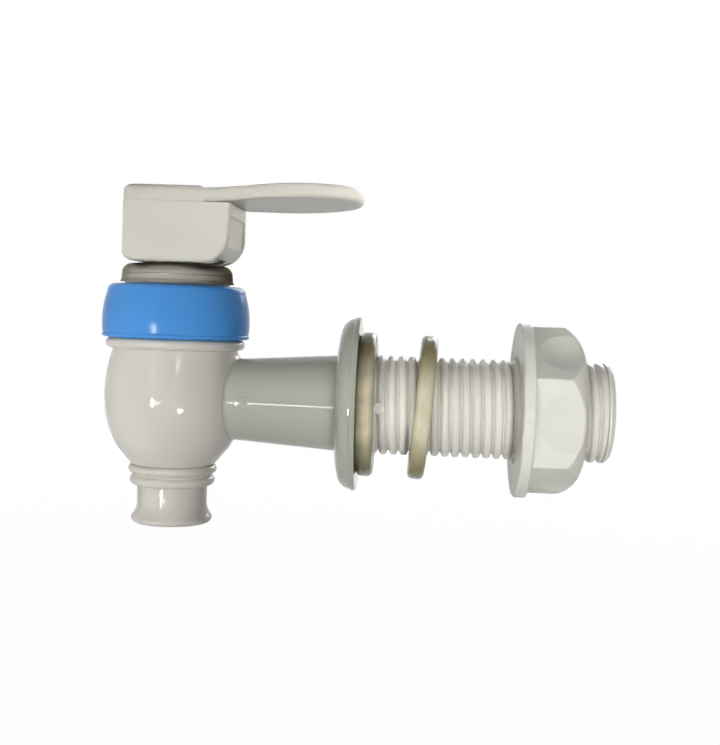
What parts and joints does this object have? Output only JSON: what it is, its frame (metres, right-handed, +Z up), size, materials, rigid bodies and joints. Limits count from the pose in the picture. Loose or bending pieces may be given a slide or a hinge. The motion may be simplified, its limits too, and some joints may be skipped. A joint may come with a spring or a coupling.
{
  "type": "water dispenser tap",
  "caption": "Lever tap for a water purifier: spout and valve chamber, long threaded shank, wall flange, washers and hexagon nut.",
  "frame": {"origin": "on the shank's axis in the wall plane, at the outer washer's wall face", "axes": "+X along the shank, towards the inside of the machine; +Z up along the valve stem; the spout points down"},
  "size_m": [0.1025, 0.035, 0.0681],
  "materials": {
    "white_plastic": "gloss",
    "blue_plastic": "gloss",
    "stainless": "brushed",
    "silicone": "translucent, satin",
    "black_rubber": "matt",
    "inner_plastic": "satin",
    "spring_steel": "bright"
  },
  "bodies": {
    "tap_body": {"faucet_body": "white_plastic", "outer_washer": "silicone", "inner_washer": "silicone", "bonnet_gasket": "black_rubber", "bonnet": "white_plastic", "bonnet_collar": "blue_plastic", "steel_cap": "stainless", "stem_o_ring": "black_rubber"},
    "swivel_ring": {"spring_washer": "stainless", "stem_spring": "spring_steel"},
    "stem": {"stem": "inner_plastic", "plug_holder": "inner_plastic", "seat_cup": "silicone"},
    "lever": {"lever": "white_plastic"},
    "nut": {"mounting_nut": "white_plastic"}
  },
  "joints": [
    {"name": "lever_swivel", "type": "hinge", "parent": "tap_body", "child": "swivel_ring", "pos_m": [-0.041, 0, 0.0147], "axis": [0, 0, 1], "continuous": true},
    {"name": "stem_lift", "type": "slide", "parent": "swivel_ring", "child": "stem", "axis": [0, 0, 1], "range_m": [0, 0.00253], "deforming": ["stem_spring"]},
    {"name": "lever_tilt", "type": "hinge", "parent": "stem", "child": "lever", "pos_m": [-0.041, 0, 0.0327], "axis": [0, 1, 0], "range_deg": [0, 22], "stiffness_Nm_per_rad": 0.065, "springref_deg": -34.38},
    {"name": "nut_travel", "type": "slide", "parent": "tap_body", "child": "nut", "axis": [1, 0, 0], "range_m": [-0.0154, 0.014]}
  ],
  "couplings": [
    {"joint": "lever_tilt", "follows": "stem_lift", "rad_per_m": 151.5}
  ]
}
